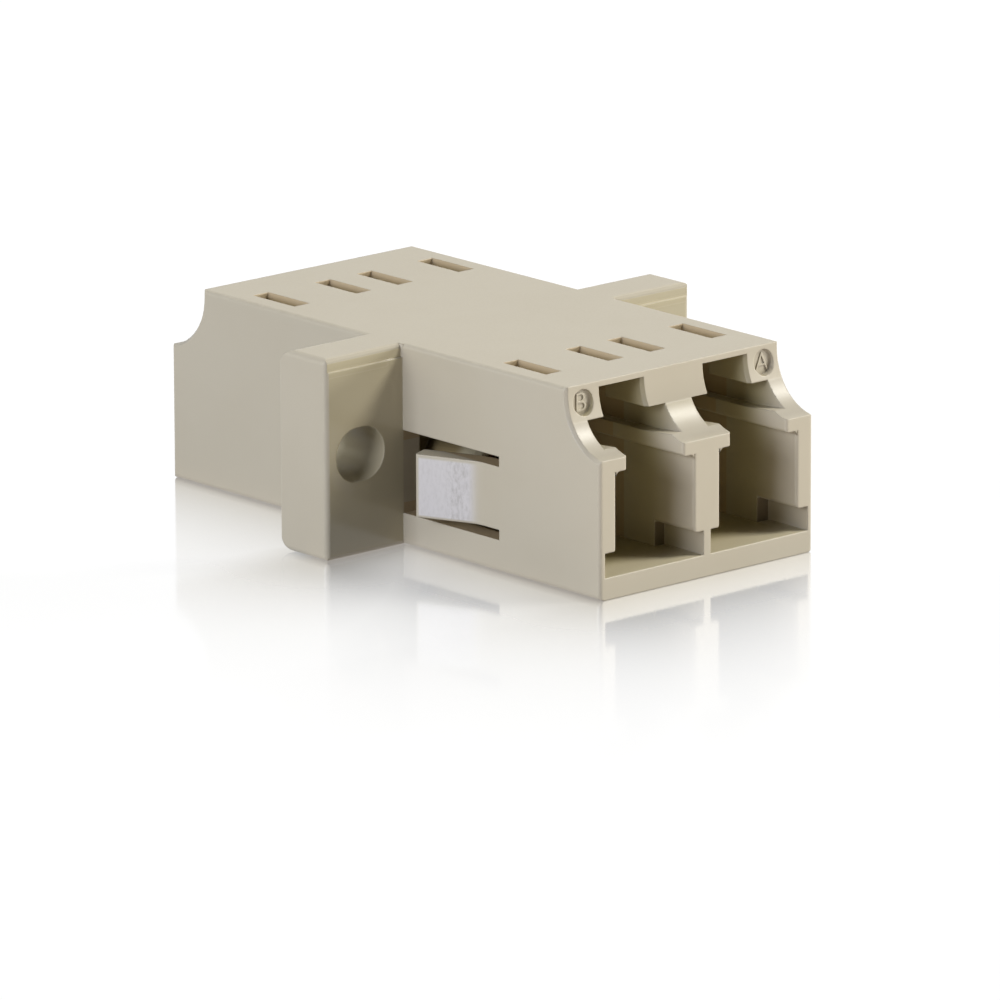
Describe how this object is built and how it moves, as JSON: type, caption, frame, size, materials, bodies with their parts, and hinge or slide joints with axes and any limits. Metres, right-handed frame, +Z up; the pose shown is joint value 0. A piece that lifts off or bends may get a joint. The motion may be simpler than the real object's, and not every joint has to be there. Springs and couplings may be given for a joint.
{
  "type": "fibre optic coupler",
  "caption": "Beige duplex fibre optic coupler: facing plug ports joined by split sleeves, with a flange for screws and side tabs that snap into a panel.",
  "frame": {"origin": "middle of the base, where the part stands on a surface", "axes": "+X across the two ports, +Y along the fibres from the snap-tab end to the far end, +Z up towards the latch windows"},
  "size_m": [0.022, 0.0294, 0.0093],
  "materials": {
    "housing_plastic": "semi-gloss beige moulding",
    "retainer_plastic": "satin beige moulding",
    "sleeve_bronze": "polished phosphor bronze"
  },
  "bodies": {
    "root": {"housing": "housing_plastic", "left_sleeve_retainer": "retainer_plastic", "right_sleeve_retainer": "retainer_plastic", "left_alignment_sleeve": "sleeve_bronze", "right_alignment_sleeve": "sleeve_bronze"}
  },
  "joints": []
}
